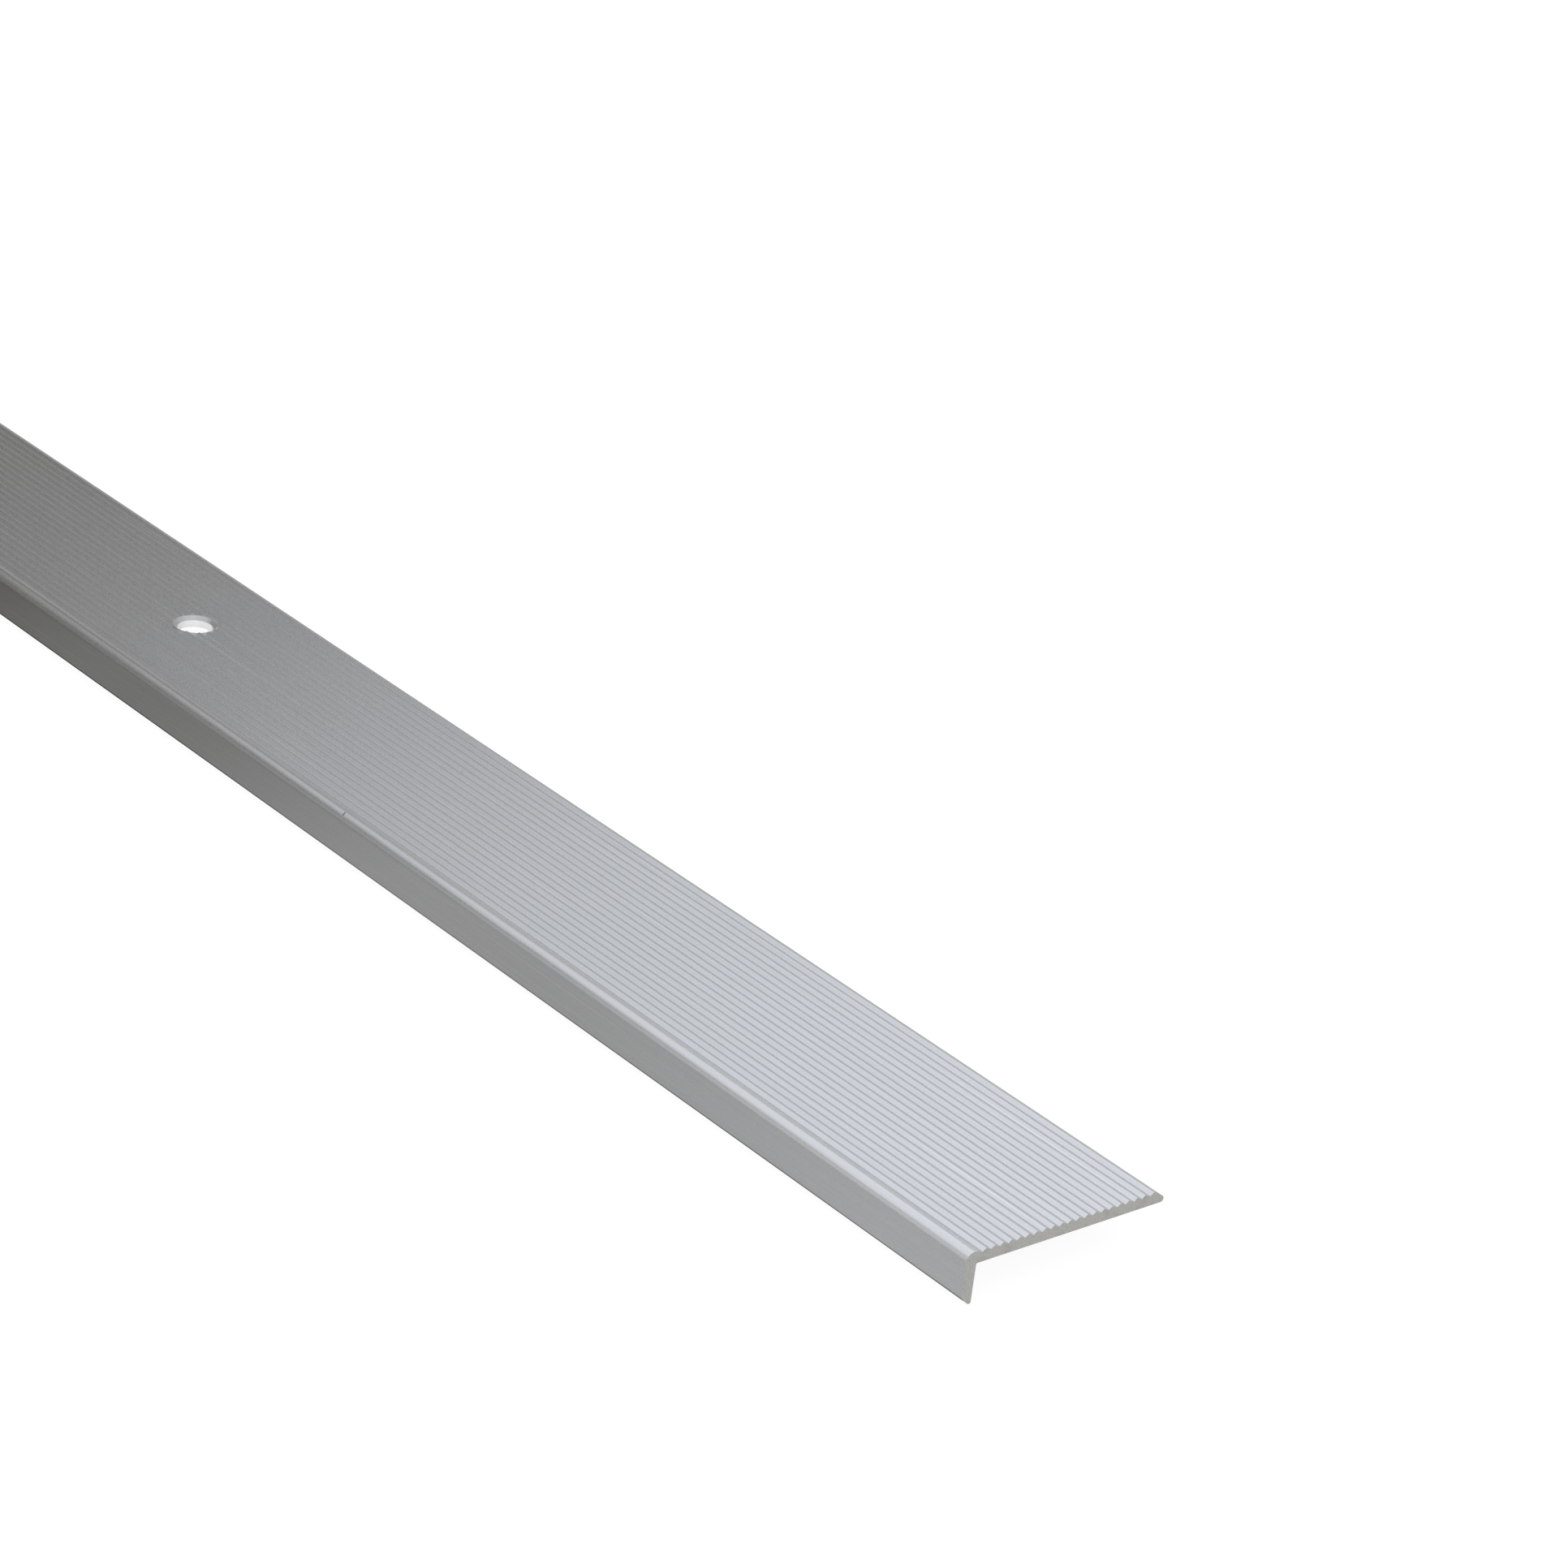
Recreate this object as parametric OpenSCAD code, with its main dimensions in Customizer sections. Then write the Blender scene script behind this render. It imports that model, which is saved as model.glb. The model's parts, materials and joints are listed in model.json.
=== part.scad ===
// Ribbed edge strip for a step or a doorway: one aluminium extrusion, cut to length.
// A flat ribbed tread lies on the step, a rounded nose turns down into a short lip
// over the front edge, and the back edge is bevelled so that nothing catches on it.
// +Z is up, +Y points to the back of the tread, X runs along the strip.
// Origin: middle of the row of screw holes, on the flat underside of the tread.

/* [Strip] */
// overall length, sawn square at both ends
strip_l = 900; // [600:10:2000]
// thickness of the tread, underside to the tops of the ribs
tread_t = 2; // [1.8:0.1:3]

/* [Ribs] */
// number of ribs across the tread
rib_count = 21; // [16:1:24]
// distance from one rib crest to the next
rib_pitch = 1.5; // [1.4:0.1:1.8]
// height of a rib above the bottom of its groove
rib_h = 0.43; // [0.2:0.01:0.6]
// share of each pitch taken by the gentle slope that faces the back
rib_back_share = 0.62; // [0.4:0.01:0.7]

/* [Nose and lip] */
// thickness of the lip where it leaves the nose
lip_t = 2.1; // [1.9:0.1:3]
// overall height, rib crests to the lower edge of the lip
strip_h = 8.1; // [7:0.1:14]
// radius of the rounded nose
nose_r = 1.5; // [1:0.1:1.7]
// how far the outer face of the lip leans inwards towards its lower edge, degrees
lip_draft = 3.4; // [0:0.1:4]
// width of the flat bottom edge of the lip, behind its chamfer
toe_flat = 0.5; // [0.3:0.05:0.8]
// height of the chamfer on the outer lower edge of the lip
toe_chamfer = 1.25; // [0.6:0.05:1.6]

/* [Back edge] */
// angle of the bevel at the back of the tread, degrees below level
bevel_angle = 35; // [25:1:45]
// radius of the rounded tip below the bevel
tip_r = 0.5; // [0.3:0.05:0.7]
// flat behind the last rib crest, before the bevel
crest_flat = 0.4; // [0.2:0.05:0.8]

/* [Screw holes] */
// number of screw holes, spaced evenly about the middle of the strip
hole_count = 3; // [2:1:4]
// distance between neighbouring holes
hole_spacing = 239; // [120:1:250]
// diameter of the hole through the tread
hole_d = 5.7; // [4:0.1:6]
// diameter of the ring around each hole where the ribs are pressed flat
land_d = 7.3; // [7:0.1:9]
// diameter of the countersink where it meets that ring
csk_d = 6.9; // [6.6:0.1:6.9]
// rib crest that the row of holes is centred on, counted from the nose
hole_row = 11; // [8:1:13]

/* [Hidden] */
$fn = 96;
eps = 0.01;
// Y of the first crest (back edge of the nose flat) and of the last one
crest_first = -hole_row * rib_pitch;
crest_last = crest_first + rib_count * rib_pitch;
// inner face of the lip, just behind the first crest
lip_y = crest_first + 0.15;
// centre of the nose arc and the point where the arc runs into the outer face
nose_cy = lip_y - lip_t + nose_r;
nose_cz = tread_t - nose_r;
nose_end_y = nose_cy - nose_r * cos(lip_draft);
nose_end_z = nose_cz - nose_r * sin(lip_draft);
// lower edge of the lip and the top of its chamfer on the outer face
lip_z = tread_t - strip_h;
toe_z = lip_z + toe_chamfer;
toe_y = nose_end_y + (nose_end_z - toe_z) * tan(lip_draft);
// bevel at the back and the rounded tip below it
bevel_y = crest_last + crest_flat;
tip_oz = tip_r * (1 + cos(bevel_angle));
tip_oy = bevel_y + (tread_t - tip_oz) / tan(bevel_angle);
tip_cy = tip_oy - tip_r * sin(bevel_angle);
// the flat ring lies at half the height of the ribs
land_z = tread_t - rib_h / 2;
// countersink of 90 degrees
csk_h = (csk_d - hole_d) / 2;

// outline of the ribbed top, from the last crest forward to the first
function rib_points() = [
    for (i = [rib_count:-1:1], k = [0, 1])
        k == 0
            ? [crest_first + i * rib_pitch, tread_t]
            : [crest_first + (i - 1 + rib_back_share) * rib_pitch, tread_t - rib_h]
];

// cross-section, drawn with its x along Y and its y along Z
module section() {
    polygon(concat(
        [[lip_y, 0], [tip_cy, 0], [tip_oy, tip_oz], [bevel_y, tread_t]],
        rib_points(),
        [[crest_first, tread_t], [nose_cy, tread_t], [nose_end_y, nose_end_z]],
        [[toe_y, toe_z], [lip_y - toe_flat, lip_z], [lip_y, lip_z]]
    ));
    // rounded nose
    translate([nose_cy, nose_cz]) circle(r = nose_r);
    // rounded tip of the back edge
    translate([tip_cy, tip_r]) circle(r = tip_r);
}

// its children at each screw hole
module at_holes() {
    for (i = [0:hole_count - 1])
        translate([(i - (hole_count - 1) / 2) * hole_spacing, 0, 0]) children();
}

// one screw hole with its countersink, and the clearance above the flat ring
module screw_hole() {
    translate([0, 0, -1]) cylinder(h = tread_t + 2, d = hole_d);
    translate([0, 0, land_z - csk_h])
        cylinder(h = csk_h + eps, d1 = hole_d, d2 = csk_d + 2 * eps);
    translate([0, 0, land_z]) cylinder(h = rib_h, d = land_d);
}

module strip() {
    color([0.80, 0.81, 0.82])
    difference() {
        union() {
            translate([-strip_l / 2, 0, 0])
                rotate([90, 0, 90]) linear_extrude(strip_l) section();
            // grooves filled to the level of the flat ring
            at_holes() translate([0, 0, tread_t / 4])
                cylinder(h = land_z - tread_t / 4, d = land_d);
        }
        at_holes() screw_hole();
    }
}

strip();
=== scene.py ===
"""A ribbed aluminium edge strip: camera, studio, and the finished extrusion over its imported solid."""

import json
import math

import bmesh
import bpy
from mathutils import Matrix, Vector


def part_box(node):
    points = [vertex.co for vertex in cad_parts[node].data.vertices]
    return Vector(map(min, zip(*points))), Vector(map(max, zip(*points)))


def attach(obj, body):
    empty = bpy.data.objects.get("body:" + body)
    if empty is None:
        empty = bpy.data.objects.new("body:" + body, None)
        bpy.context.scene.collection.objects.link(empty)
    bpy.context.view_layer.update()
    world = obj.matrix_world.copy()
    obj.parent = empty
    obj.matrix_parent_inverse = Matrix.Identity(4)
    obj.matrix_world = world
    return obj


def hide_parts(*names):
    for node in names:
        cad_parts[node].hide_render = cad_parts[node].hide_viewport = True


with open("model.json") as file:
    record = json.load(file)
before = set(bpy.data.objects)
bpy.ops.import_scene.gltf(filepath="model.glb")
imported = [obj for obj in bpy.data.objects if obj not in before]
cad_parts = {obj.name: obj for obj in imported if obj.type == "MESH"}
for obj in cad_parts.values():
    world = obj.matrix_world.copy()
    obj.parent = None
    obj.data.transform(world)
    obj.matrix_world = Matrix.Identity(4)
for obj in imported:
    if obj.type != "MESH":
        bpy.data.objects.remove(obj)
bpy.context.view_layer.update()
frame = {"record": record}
lo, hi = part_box("strip")
MM = 0.001

# The section, in millimetres, as the CAD solid has it
RIB_COUNT = 21
RIB_PITCH = 1.5
RIB_H = 0.43
RIB_BACK_SHARE = 0.62
LIP_T = 2.1
LIP_DRAFT = math.radians(3.4)
NOSE_R = 1.5
TOE_FLAT = 0.5
TOE_CHAMFER = 1.25
BEVEL_ANGLE = math.radians(35)
TIP_R = 0.5
CREST_FLAT = 0.4
LAND_R = 3.65
CSK_R = 3.45

# Small roundings that only the visual model has, in millimetres
CREST_R = 0.10
VALLEY_R = 0.28
EDGE_BREAK = 0.05

# Places taken from the frame
TOP = hi.z / MM
BOTTOM = lo.z / MM
FRONT = lo.y / MM
LIP_Y = FRONT + LIP_T
CREST_FIRST = LIP_Y - 0.15
CREST_LAST = CREST_FIRST + RIB_COUNT * RIB_PITCH
LAND_Z = TOP - RIB_H / 2

# Material slots on the finished mesh
ANODISED, SAWN, DRILLED, KNOCKED = 0, 1, 2, 3


# ---------------------------------------------------------------- camera
def make_camera():
    """A long lens from the near right, above the lip side, rolled a little."""
    azimuth, elevation, roll = math.radians(47.9), math.radians(25.12), math.radians(7.07)
    distance = 0.7818
    target = Vector((hi.x - 0.1248, 0.0525, 0.0))
    back = Vector((
        math.sin(azimuth) * math.cos(elevation),
        -math.cos(azimuth) * math.cos(elevation),
        math.sin(elevation),
    ))
    right = (-back).cross(Vector((0, 0, 1))).normalized()
    up = back.cross(right)
    right_rolled = right * math.cos(roll) + up * math.sin(roll)
    up_rolled = up * math.cos(roll) - right * math.sin(roll)
    data = bpy.data.cameras.new("camera")
    data.sensor_width = 36.0
    data.lens = 115.64
    data.clip_start, data.clip_end = 0.01, 50.0
    camera = bpy.data.objects.new("camera", data)
    turn = Matrix((right_rolled, up_rolled, back)).transposed()
    camera.matrix_world = Matrix.Translation(target + back * distance) @ turn.to_4x4()
    bpy.context.scene.collection.objects.link(camera)
    bpy.context.scene.camera = camera


# ---------------------------------------------------------------- section outline
def fillet(corners):
    """Points in order round an outline of (y, z, radius, steps) corners, with each corner rounded."""
    points = []
    for i, (y, z, radius, steps) in enumerate(corners):
        here = Vector((y, z))
        before = Vector(corners[i - 1][:2])
        after = Vector(corners[(i + 1) % len(corners)][:2])
        if radius == 0:
            points.append(here)
            continue
        a, b = (before - here).normalized(), (after - here).normalized()
        half = a.angle(b) / 2
        centre = here + (a + b).normalized() * radius / math.sin(half)
        start = here + a * radius / math.tan(half) - centre
        finish = here + b * radius / math.tan(half) - centre
        sweep = start.angle_signed(finish)
        for k in range(steps + 1):
            turned = start.copy()
            turned.rotate(Matrix.Rotation(-sweep * k / steps, 2))
            points.append(centre + turned)
    return points


def section():
    """The outline of the bar: from the inner corner along the underside, over the ribs, to the lip."""
    nose_y = FRONT + NOSE_R
    nose_end = Vector((
        nose_y - NOSE_R * math.cos(LIP_DRAFT),
        TOP - NOSE_R - NOSE_R * math.sin(LIP_DRAFT),
    ))
    toe_z = BOTTOM + TOE_CHAMFER
    slope = math.tan(LIP_DRAFT)
    bevel_y = CREST_LAST + CREST_FLAT
    corners = [
        (LIP_Y, 0, 0.2, 4),
        (bevel_y + TOP / math.tan(BEVEL_ANGLE), 0, TIP_R, 14),
        (bevel_y, TOP, 0.3, 4),
    ]
    for i in range(RIB_COUNT, 0, -1):
        crest = CREST_FIRST + i * RIB_PITCH
        valley = crest - (1 - RIB_BACK_SHARE) * RIB_PITCH
        corners.append((crest, TOP, CREST_R, 4))
        corners.append((valley, TOP - RIB_H, VALLEY_R, 6))
    corners += [
        (CREST_FIRST, TOP, CREST_R, 4),
        (nose_end.x - (TOP - nose_end.y) * slope, TOP, NOSE_R, 20),
        (nose_end.x + (nose_end.y - toe_z) * slope, toe_z, 0.5, 5),
        (LIP_Y - TOE_FLAT, BOTTOM, 0.35, 5),
        (LIP_Y, BOTTOM, 0.2, 5),
    ]
    return fillet(corners)


def inset(points, depth):
    """The same outline moved inwards by depth."""
    moved = []
    for i, here in enumerate(points):
        along = points[(i + 1) % len(points)] - points[i - 1]
        moved.append(here + Vector((-along.y, along.x)).normalized() * depth)
    return moved


# ---------------------------------------------------------------- the extrusion
def hole_places():
    """X of each screw hole, and the radius of the holes, from the record's bolt patterns."""
    places, radius = set(), 0.0
    for mount in frame["record"]["mounts"]:
        if mount["kind"] == "bolt_pattern":
            half = mount["dims"]["spacing_x_mm"] / 2
            centre = mount["pos_m"][0] / MM
            places |= {round(centre - half, 3), round(centre + half, 3)}
            radius = mount["dims"]["hole_r_mm"]
    return sorted(places), radius


# The bake layout: three rows of a third of the length each, then a band for the ends and the holes
ROWS = 3
UV_GAP = 0.004
UV_SCALE = (1 - 2 * UV_GAP) / ((hi.x - lo.x) / MM / ROWS)
UV_DETAIL = 3
UV_NEXT_END = 0.37
UV_HOLES = 0.76
UV_NEXT_HOLE = 0.03
UV_TURN = 0.2
UV_RING = 0.006


def new_object(name, bm, materials):
    """Turns a bmesh into an object of the scene, with the given material slots."""
    mesh = bpy.data.meshes.new(name)
    bm.to_mesh(mesh)
    bm.free()
    mesh.update()
    ob = bpy.data.objects.new(name, mesh)
    bpy.context.scene.collection.objects.link(ob)
    for material in materials:
        mesh.materials.append(material)
    return ob


def stations_along(x0, x1, holes):
    """X of each ring of points: by the ends, either side of a hole, where a bake row ends, and between."""
    step, hole_margin = 25.0, 6.0
    stations = {x0 + EDGE_BREAK, x1 - EDGE_BREAK}
    stations |= {x0 + (x1 - x0) / ROWS * k for k in range(1, ROWS)}
    for x in holes:
        stations |= {x - hole_margin, x + hole_margin}
    for k in range(1, int((x1 - x0) / step)):
        x = x0 + k * step
        if min(abs(x - s) for s in stations) > step / 4:
            stations.add(x)
    return sorted(stations)


def extrusion(materials, holes):
    """The extruded bar, with its sawn ends lightly broken at the edges."""
    outline = section()
    count = len(outline)
    lengths = [(outline[(i + 1) % count] - outline[i]).length for i in range(count)]
    around = [sum(lengths[:i]) for i in range(count + 1)]
    row_height = around[-1] * UV_SCALE + UV_GAP
    x0, x1 = lo.x / MM, hi.x / MM
    row_length = (x1 - x0) / ROWS
    bm = bmesh.new()
    uv = bm.loops.layers.uv.new("OFBake")
    small = inset(outline, EDGE_BREAK)
    full = [(x, outline) for x in stations_along(x0, x1, holes)]
    rings = []
    for x, points in [(x0, small), *full, (x1, small)]:
        rings.append([bm.verts.new((x, p.x, p.y)) for p in points])
    for r in range(len(rings) - 1):
        middle = (rings[r][0].co.x + rings[r + 1][0].co.x) / 2
        row = min(int((middle - x0) / row_length), ROWS - 1)
        for i in range(count):
            j = (i + 1) % count
            face = bm.faces.new((rings[r][i], rings[r][j], rings[r + 1][j], rings[r + 1][i]))
            face.smooth = True
            face.material_index = ANODISED
            for loop, k in zip(face.loops, (i, i + 1, i + 1, i)):
                u = (loop.vert.co.x - x0 - row * row_length) * UV_SCALE + UV_GAP
                loop[uv].uv = (u, UV_GAP + row * row_height + around[k] * UV_SCALE)
    for side, ring in enumerate((rings[0], rings[-1])):
        face = bm.faces.new(ring)
        face.material_index = SAWN
        for loop in face.loops:
            y = loop.vert.co.y - FRONT
            z = loop.vert.co.z - BOTTOM
            loop[uv].uv = (
                UV_GAP + side * UV_NEXT_END + y * UV_SCALE * UV_DETAIL,
                UV_GAP + ROWS * row_height + z * UV_SCALE * UV_DETAIL,
            )
    bmesh.ops.recalc_face_normals(bm, faces=bm.faces)
    bmesh.ops.triangulate(bm, faces=[f for f in bm.faces if len(f.verts) > 4])
    return new_object("extruded_strip", bm, materials), ROWS * row_height + UV_GAP


def turned(name, rings, steps, materials, uv_at):
    """A closed solid of revolution about a vertical axis, from rings of (radius, z, material above)."""
    bm = bmesh.new()
    uv = bm.loops.layers.uv.new("OFBake")
    loops = []
    for radius, z, _ in rings:
        circle = [2 * math.pi * k / steps for k in range(steps)]
        loops.append([
            bm.verts.new((radius * math.cos(a), radius * math.sin(a), z))
            for a in circle
        ])
    for r in range(len(rings) - 1):
        for k in range(steps):
            n = (k + 1) % steps
            face = bm.faces.new((loops[r][k], loops[r][n], loops[r + 1][n], loops[r + 1][k]))
            face.smooth = True
            face.material_index = rings[r][2]
            for loop, (a, b) in zip(face.loops, ((k, r), (k + 1, r), (k + 1, r + 1), (k, r + 1))):
                loop[uv].uv = (uv_at[0] + a / steps * UV_TURN, uv_at[1] + b * UV_RING)
    for ring in (loops[0], loops[-1]):
        bm.faces.new(ring).material_index = DRILLED
    bmesh.ops.recalc_face_normals(bm, faces=bm.faces)
    return new_object(name, bm, materials)


def apply_modifiers(ob):
    """Bakes the modifiers into a new mesh, so that nothing is left to evaluate."""
    graph = bpy.context.evaluated_depsgraph_get()
    mesh = bpy.data.meshes.new_from_object(
        ob.evaluated_get(graph), preserve_all_data_layers=True, depsgraph=graph
    )
    ob.modifiers.clear()
    ob.data = mesh


def combine(ob, tool, operation="DIFFERENCE"):
    """Takes tool's shape out of ob, or joins it on."""
    boolean = ob.modifiers.new("combine", "BOOLEAN")
    boolean.operation = operation
    boolean.solver = "EXACT"
    boolean.object = tool
    bpy.context.view_layer.update()
    apply_modifiers(ob)
    bpy.data.objects.remove(tool)


def drill(strip, holes, radius, csk_z, materials, uv_band):
    """The screw holes: ribs pressed flat in a ring, and a 90 degree countersink inside it."""
    above = TOP + 1.0
    pad = [(LAND_R, 0.5, ANODISED), (LAND_R, LAND_Z, DRILLED)]
    tool = [
        (radius, -1.0, DRILLED),
        (radius, csk_z, DRILLED),
        (CSK_R, LAND_Z, DRILLED),
        (LAND_R, LAND_Z, ANODISED),
        (LAND_R, above, DRILLED),
    ]
    for n, x in enumerate(holes):
        corner = (UV_HOLES, uv_band + n * UV_NEXT_HOLE)
        for name, rings, operation in (("pad", pad, "UNION"), ("drill", tool, "DIFFERENCE")):
            piece = turned(name, rings, 96, materials, corner)
            piece.location.x = x
            combine(strip, piece, operation)


def nick(strip, materials, x, angle):
    """One small narrow knock in the rounded nose, angle degrees forward of straight up."""
    a = math.radians(angle)
    bm = bmesh.new()
    bmesh.ops.create_icosphere(bm, subdivisions=3, radius=1.0)
    # The knock's faces take the painted-shade material of the hollow.
    for face in bm.faces:
        face.material_index = KNOCKED
        face.smooth = True
    tool = new_object("knock", bm, materials)
    tool.scale = (0.12, 0.46, 0.14)
    tool.rotation_euler = (a, 0, math.radians(20))
    tool.location = (
        x,
        FRONT + NOSE_R - NOSE_R * math.sin(a),
        TOP - NOSE_R + NOSE_R * math.cos(a),
    )
    combine(strip, tool)


def finish_mesh(strip):
    """Smooth roundings, sharp sawn and drilled edges, flats kept flat; then millimetres to metres."""
    strip.data.set_sharp_from_angle(angle=math.radians(32))
    weighted = strip.modifiers.new("flats", "WEIGHTED_NORMAL")
    weighted.keep_sharp = True
    weighted.mode = "FACE_AREA"
    apply_modifiers(strip)
    strip.data.transform(Matrix.Scale(MM, 4))


# ---------------------------------------------------------------- materials
class Graph:
    """A material's node tree, with short calls for the nodes used here."""

    def __init__(self, name):
        self.material = bpy.data.materials.new(name)
        self.material.use_nodes = True
        self.tree = self.material.node_tree
        self.shader = next(n for n in self.tree.nodes if n.type == "BSDF_PRINCIPLED")
        self.coords = self.tree.nodes.new("ShaderNodeTexCoord").outputs["Object"]

    def link(self, source, socket):
        """Feeds a socket from another node's output, or sets it to a plain value."""
        if hasattr(source, "is_output"):
            self.tree.links.new(source, socket)
        else:
            socket.default_value = source
        return socket

    def node(self, kind, **settings):
        made = self.tree.nodes.new(kind)
        for key, value in settings.items():
            setattr(made, key, value)
        return made

    def at(self, scale, shift=(0, 0, 0)):
        """The object's own coordinates, in metres, scaled per axis and then shifted."""
        mapping = self.node("ShaderNodeMapping")
        mapping.inputs["Scale"].default_value = scale
        mapping.inputs["Location"].default_value = shift
        self.link(self.coords, mapping.inputs["Vector"])
        return mapping.outputs["Vector"]

    def noise(self, scale, detail=2.0, roughness=0.5):
        """Noise with scale cycles in each metre along X, Y and Z."""
        made = self.node("ShaderNodeTexNoise")
        made.inputs["Scale"].default_value = 1.0
        made.inputs["Detail"].default_value = detail
        made.inputs["Roughness"].default_value = roughness
        self.link(self.at(scale), made.inputs["Vector"])
        return made.outputs["Fac"]

    def span(self, value, low, high, to_low=0.0, to_high=1.0, smooth=False):
        """Value from low..high, mapped to to_low..to_high and clamped."""
        made = self.node("ShaderNodeMapRange", clamp=True)
        made.interpolation_type = "SMOOTHSTEP" if smooth else "LINEAR"
        inputs = (value, low, high, to_low, to_high)
        names = ("Value", "From Min", "From Max", "To Min", "To Max")
        for name, given in zip(names, inputs):
            self.link(given, made.inputs[name])
        return made.outputs["Result"]

    def maths(self, operation, a, b=0.0):
        made = self.node("ShaderNodeMath", operation=operation)
        self.link(a, made.inputs[0])
        self.link(b, made.inputs[1])
        return made.outputs["Value"]

    def blend(self, share, a, b):
        """Colour a, with b mixed in by share."""
        made = self.node("ShaderNodeMix", data_type="RGBA")
        self.link(share, made.inputs[0])
        self.link(a, made.inputs[6])
        self.link(b, made.inputs[7])
        return made.outputs[2]

    def axes(self):
        made = self.node("ShaderNodeSeparateXYZ")
        self.link(self.coords, made.inputs[0])
        return made.outputs

    def bump(self, height, distance, strength=1.0, under=None):
        made = self.node("ShaderNodeBump")
        made.inputs["Strength"].default_value = strength
        made.inputs["Distance"].default_value = distance
        self.link(height, made.inputs["Height"])
        if under is not None:
            self.link(under, made.inputs["Normal"])
        return made.outputs["Normal"]


def anodised():
    """Satin silver anodising over extruded metal: fine grain, die lines along the bar, rubbed crests."""
    g = Graph("satin_anodised")
    grain = g.noise((5200, 5200, 5200), detail=3.0, roughness=0.6)
    die_lines = g.noise((9, 2600, 2600), detail=2.0, roughness=0.55)
    clouds = g.noise((28, 90, 90), detail=3.0)
    specks = g.span(g.noise((2600, 2600, 2600), detail=0.0), 0.86, 0.90)
    height = g.axes()[2]
    rubbed = g.maths(
        "MULTIPLY",
        g.span(height, (TOP - 0.10) * MM, (TOP - 0.01) * MM, smooth=True),
        g.span(clouds, 0.35, 0.65, 0.8, 1.0),
    )
    scratches = g.span(g.noise((22, 6500, 6500), detail=0.0), 0.76, 0.80)
    colour = g.blend(g.span(grain, 0.3, 0.7), (0.55, 0.555, 0.565, 1), (0.63, 0.635, 0.645, 1))
    colour = g.blend(
        g.span(die_lines, 0.35, 0.65, 0.0, 0.35), colour, (0.52, 0.525, 0.535, 1)
    )
    colour = g.blend(g.maths("MULTIPLY", rubbed, 0.15), colour, (0.70, 0.70, 0.705, 1))
    colour = g.blend(g.maths("MULTIPLY", specks, 0.5), colour, (0.42, 0.41, 0.40, 1))
    colour = g.blend(g.maths("MULTIPLY", scratches, 0.4), colour, (0.86, 0.86, 0.86, 1))
    rough = g.span(grain, 0.3, 0.7, 0.26, 0.33)
    rough = g.maths("ADD", rough, g.span(clouds, 0.3, 0.7, -0.005, 0.005))
    rough = g.maths("SUBTRACT", rough, g.maths("MULTIPLY", rubbed, 0.06))
    g.link(colour, g.shader.inputs["Base Color"])
    g.link(rough, g.shader.inputs["Roughness"])
    lines = g.bump(die_lines, 0.006 * MM, 0.6)
    g.link(g.bump(grain, 0.008 * MM, 0.6, lines), g.shader.inputs["Normal"])
    g.shader.inputs["Metallic"].default_value = 1.0
    return g.material


def sawn():
    """Bare metal as a circular saw leaves it: shallow curved score lines and a mottled, dull face."""
    g = Graph("sawn_metal")
    mottle = g.noise((3600, 3600, 3600), detail=3.0, roughness=0.7)
    patches = g.noise((420, 420, 420), detail=2.0)
    pits = g.span(g.noise((1900, 1900, 1900), detail=1.0), 0.70, 0.76)
    scores = g.node("ShaderNodeTexWave", wave_type="RINGS", rings_direction="X")
    scores.inputs["Scale"].default_value = 1.0
    scores.inputs["Distortion"].default_value = 1.2
    scores.inputs["Detail"].default_value = 2.0
    centre = g.at((600, 600, 600), shift=(0, -30, 48))
    g.link(centre, scores.inputs["Vector"])
    colour = g.blend(g.span(mottle, 0.3, 0.7), (0.50, 0.492, 0.47, 1), (0.71, 0.70, 0.675, 1))
    colour = g.blend(g.span(patches, 0.5, 0.72, 0.0, 0.5), colour, (0.44, 0.43, 0.41, 1))
    colour = g.blend(g.maths("MULTIPLY", pits, 0.6), colour, (0.25, 0.245, 0.235, 1))
    g.link(colour, g.shader.inputs["Base Color"])
    g.link(g.span(mottle, 0.3, 0.7, 0.42, 0.60), g.shader.inputs["Roughness"])
    marks = g.bump(scores.outputs["Fac"], 0.01 * MM, 0.5)
    g.link(g.bump(mottle, 0.012 * MM, 0.6, marks), g.shader.inputs["Normal"])
    g.shader.inputs["Metallic"].default_value = 1.0
    return g.material


def drilled(csk_z):
    """Bare metal with fine turning marks: a darker grey in the countersink, painted shade that tones down
    its reflection, and near-white in the bore below csk_z, painted light on the bore wall.
    """
    g = Graph("drilled_metal_painted_light")
    turning = g.node("ShaderNodeTexWave", wave_type="BANDS", bands_direction="Z")
    turning.inputs["Scale"].default_value = 1.0
    turning.inputs["Distortion"].default_value = 0.6
    g.link(g.at((900, 900, 9000)), turning.inputs["Vector"])
    smudge = g.noise((1200, 1200, 1200), detail=3.0)
    # Painted shade: the countersink is given a darker grey than bare metal, to tone down its bright
    # reflection.
    colour = g.blend(g.span(smudge, 0.3, 0.7), (0.43, 0.43, 0.42, 1), (0.52, 0.52, 0.51, 1))
    # Painted light: below csk_z the bore wall is painted near-white, in place of the light its shaded wall
    # does not get.
    bore_painted_light = g.span(g.axes()[2], (csk_z - 0.02) * MM, csk_z * MM, 1.0, 0.0)
    colour = g.blend(bore_painted_light, colour, (0.90, 0.90, 0.89, 1))
    g.link(colour, g.shader.inputs["Base Color"])
    g.link(g.span(smudge, 0.3, 0.7, 0.48, 0.60), g.shader.inputs["Roughness"])
    g.link(g.bump(turning.outputs["Fac"], 0.006 * MM, 0.5), g.shader.inputs["Normal"])
    g.shader.inputs["Metallic"].default_value = 1.0
    return g.material


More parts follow.
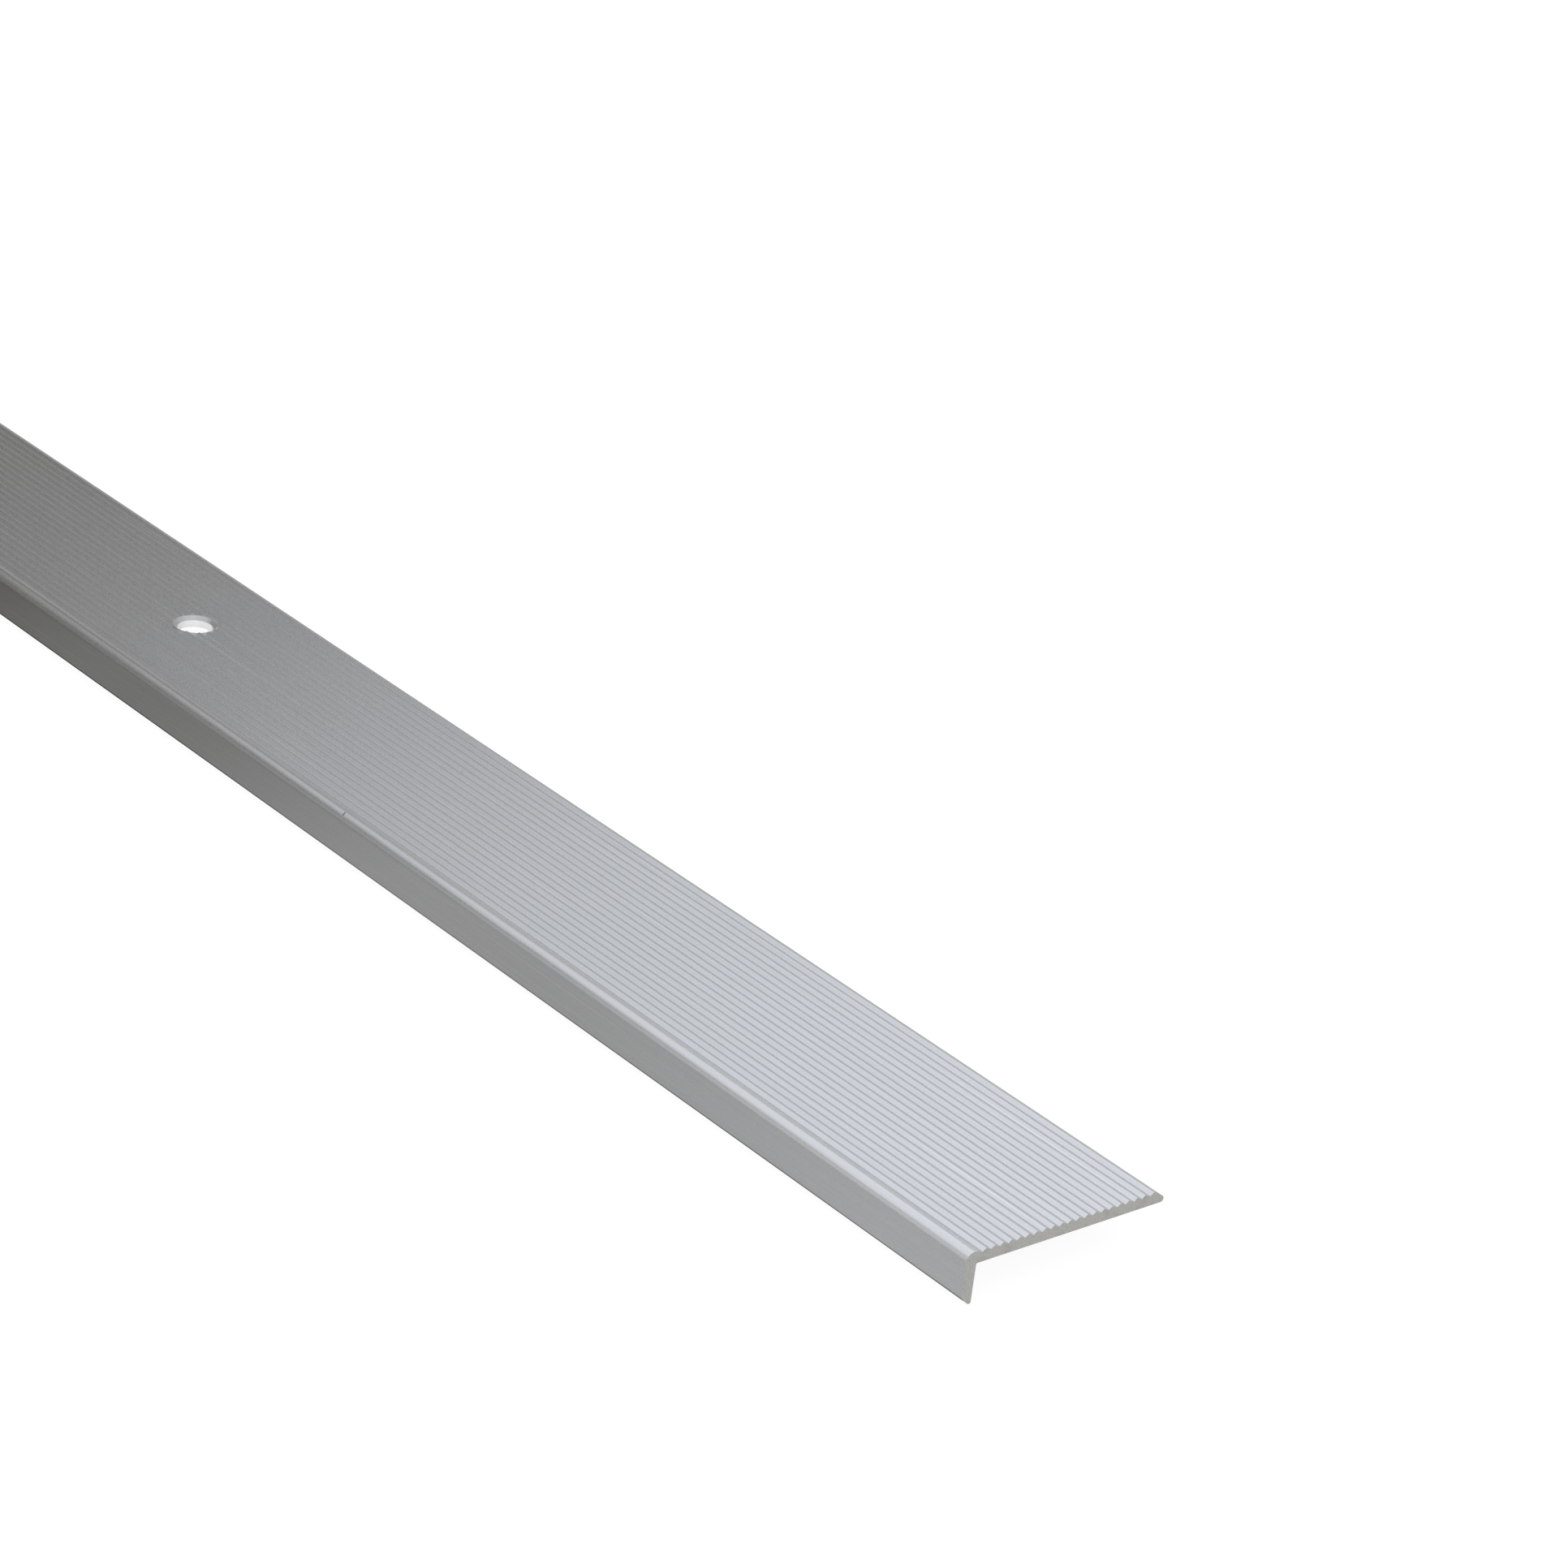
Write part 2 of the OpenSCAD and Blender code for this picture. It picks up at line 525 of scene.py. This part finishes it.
def knocked():
    """The inside of a knock in the nose: dull metal painted near-black, painted shade in the hollow."""
    g = Graph("knock_painted_shade")
    knock_mottle = g.noise((5200, 5200, 5200), detail=2.0)
    # Painted shade: the knock's colour is a mottled near-black that stands in for the shade inside the
    # hollow.
    colour = g.blend(g.span(knock_mottle, 0.3, 0.7), (0.10, 0.10, 0.098, 1), (0.24, 0.24, 0.235, 1))
    g.link(colour, g.shader.inputs["Base Color"])
    g.link(g.span(knock_mottle, 0.3, 0.7, 0.40, 0.60), g.shader.inputs["Roughness"])
    g.link(g.bump(knock_mottle, 0.01 * MM, 0.5), g.shader.inputs["Normal"])
    g.shader.inputs["Metallic"].default_value = 1.0
    return g.material


# ---------------------------------------------------------------- studio
def plane(name, size_x, size_y, location, material):
    """A flat sheet of the studio; it is no part of the object."""
    bm = bmesh.new()
    bmesh.ops.create_grid(bm, x_segments=1, y_segments=1, size=0.5)
    sheet = new_object(name, bm, [material])
    sheet.scale = (size_x, size_y, 1)
    sheet.location = location
    return sheet


def make_floor():
    """A white floor on a light table: bright from below, so that shadows on it stay faint."""
    material = bpy.data.materials.new("pale_floor")
    material.use_nodes = True
    shader = next(n for n in material.node_tree.nodes if n.type == "BSDF_PRINCIPLED")
    shader.inputs["Base Color"].default_value = (0.12, 0.12, 0.12, 1)
    shader.inputs["Roughness"].default_value = 1.0
    shader.inputs["Specular IOR Level"].default_value = 0.0
    shader.inputs["Emission Color"].default_value = (1, 1, 1, 1)
    shader.inputs["Emission Strength"].default_value = 0.93
    floor = plane("floor", 12.0, 12.0, (0, 0, lo.z - 0.05 * MM), material)
    floor.visible_glossy = False
    floor.visible_diffuse = False


def glow(name, stops, strength):
    """A glowing material whose colour runs along X, in metres of the room, through the given stops."""
    material = bpy.data.materials.new(name)
    material.use_nodes = True
    tree = material.node_tree
    tree.nodes.clear()
    place = tree.nodes.new("ShaderNodeTexCoord").outputs["Generated"]
    split = tree.nodes.new("ShaderNodeSeparateXYZ")
    tree.links.new(place, split.inputs[0])
    ramp = tree.nodes.new("ShaderNodeValToRGB")
    ramp.color_ramp.interpolation = "EASE"
    elements = ramp.color_ramp.elements
    while len(elements) < len(stops):
        elements.new(0.5)
    for element, (at, colour) in zip(elements, stops):
        element.position = at
        element.color = (*colour, 1)
    tree.links.new(split.outputs["X"], ramp.inputs["Fac"])
    emission = tree.nodes.new("ShaderNodeEmission")
    emission.inputs["Strength"].default_value = strength
    tree.links.new(ramp.outputs["Color"], emission.inputs["Color"])
    output = tree.nodes.new("ShaderNodeOutputMaterial")
    tree.links.new(emission.outputs[0], output.inputs["Surface"])
    return material


def make_panels():
    """A softbox over the bar, cards before and behind it, the lit table, and the bar's own shade."""
    room, under = (-1.0, 2.0), (lo.x + MM, hi.x - MM)
    below = lo.z - 0.1 * MM
    # name, stops of (x, colour), strength, (x from, to), width, middle line (y, z), lean about X
    cards = [
        ("softbox", [
            (-0.95, (0.56, 0.565, 0.57)),
            (-0.55, (0.137, 0.131, 0.115)),
            (-0.26, (0.164, 0.159, 0.143)),
            (-0.16, (0.385, 0.384, 0.382)),
            (-0.05, (0.765, 0.785, 0.825)),
            (0.16, (0.890, 0.925, 0.970)),
        ], 1.36, room, 0.9, (-0.05, 0.40), 0),
        ("front_card", [
            (-0.90, (0.50, 0.50, 0.50)),
            (-0.52, (0.10, 0.096, 0.082)),
            (-0.40, (0.12, 0.116, 0.104)),
            (-0.30, (0.17, 0.167, 0.158)),
            (-0.08, (0.55, 0.55, 0.55)),
            (0.10, (0.80, 0.81, 0.82)),
        ], 1.12, room, 0.42, (-0.46, 0.20), 90),
        ("back_card", [
            (-0.75, (0.52, 0.515, 0.49)),
            (-0.45, (0.57, 0.57, 0.57)),
            (-0.15, (0.70, 0.71, 0.73)),
        ], 1.0, room, 0.9, (0.65, 0.45), 90),
        ("lit_table", [
            (-0.35, (0.44, 0.44, 0.435)),
            (-0.10, (0.10, 0.095, 0.083)),
            (0.17, (0.120, 0.115, 0.102)),
            (0.24, (0.245, 0.242, 0.23)),
            (0.33, (0.43, 0.43, 0.425)),
            (0.46, (0.58, 0.585, 0.58)),
            (0.70, (0.72, 0.71, 0.69)),
        ], 1.09, room, 3.0, (0.0, below), 0),
        ("contact_shade", [
            (-0.35, (0.15, 0.15, 0.145)),
            (-0.05, (0.02, 0.02, 0.017)),
            (0.20, (0.02, 0.02, 0.017)),
            (0.25, (0.05, 0.05, 0.046)),
            (0.32, (0.20, 0.20, 0.19)),
        ], 1.0, under, (hi.y - lo.y) * 0.98, ((hi.y + lo.y) / 2 - 0.1 * MM, below + 0.02 * MM), 0),
    ]
    for name, pairs, strength, (low, high), width, (y, z), lean in cards:
        length = high - low
        stops = [((x - low) / length, colour) for x, colour in pairs]
        sheet = plane(name, length, width, ((low + high) / 2, y, z), glow(name, stops, strength))
        sheet.rotation_euler.x = math.radians(lean)
        sheet.visible_camera = False
        sheet.visible_shadow = False
        sheet.visible_diffuse = z > 0


def make_hole_light(holes):
    """The lit table as the wall of each screw hole mirrors it, clear of the strip's own shade."""
    white = (1.0, 1.0, 1.0)
    light = glow("hole_light", [(0.0, white), (1.0, white)], 1.15)
    for n, x in enumerate(holes):
        place = (x * MM, -0.001, lo.z - 0.07 * MM)
        patch = plane(f"hole_light_{n}", 0.040, 0.028, place, light)
        patch.visible_camera = False
        patch.visible_shadow = False
        patch.visible_diffuse = False


def make_surroundings():
    """A slightly warm grey room, a little brighter behind, and a pale backdrop for the camera."""
    world = bpy.data.worlds.new("studio")
    bpy.context.scene.world = world
    world.use_nodes = True
    tree = world.node_tree
    background = next(n for n in tree.nodes if n.type == "BACKGROUND")
    direction = tree.nodes.new("ShaderNodeTexCoord").outputs["Generated"]
    split = tree.nodes.new("ShaderNodeSeparateXYZ")
    tree.links.new(direction, split.inputs[0])
    ramp = tree.nodes.new("ShaderNodeValToRGB")
    elements = ramp.color_ramp.elements
    elements[0].position, elements[0].color = 0.2, (0.30, 0.297, 0.285, 1)
    elements[1].position, elements[1].color = 0.8, (0.46, 0.46, 0.455, 1)
    span = tree.nodes.new("ShaderNodeMapRange")
    span.inputs["From Min"].default_value = -1.0
    tree.links.new(split.outputs["Y"], span.inputs["Value"])
    tree.links.new(span.outputs[0], ramp.inputs["Fac"])
    seen = tree.nodes.new("ShaderNodeLightPath").outputs["Is Camera Ray"]
    backdrop = tree.nodes.new("ShaderNodeMix")
    backdrop.data_type = "RGBA"
    backdrop.inputs[7].default_value = (0.96, 0.96, 0.96, 1)
    tree.links.new(seen, backdrop.inputs[0])
    tree.links.new(ramp.outputs["Color"], backdrop.inputs[6])
    tree.links.new(backdrop.outputs[2], background.inputs["Color"])
    background.inputs["Strength"].default_value = 1.0


# ---------------------------------------------------------------- the scene
make_camera()
bpy.context.scene.view_settings.view_transform = "Standard"
holes, hole_radius = hole_places()
csk_foot = LAND_Z - (CSK_R - hole_radius)
materials = [anodised(), sawn(), drilled(csk_foot), knocked()]
strip, band = extrusion(materials, holes)
drill(strip, holes, hole_radius, csk_foot, materials, band)
nick(strip, materials, x=306.6, angle=29)
finish_mesh(strip)
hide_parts("strip")
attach(strip, "root")
make_floor()
make_panels()
make_hole_light(holes)
make_surroundings()
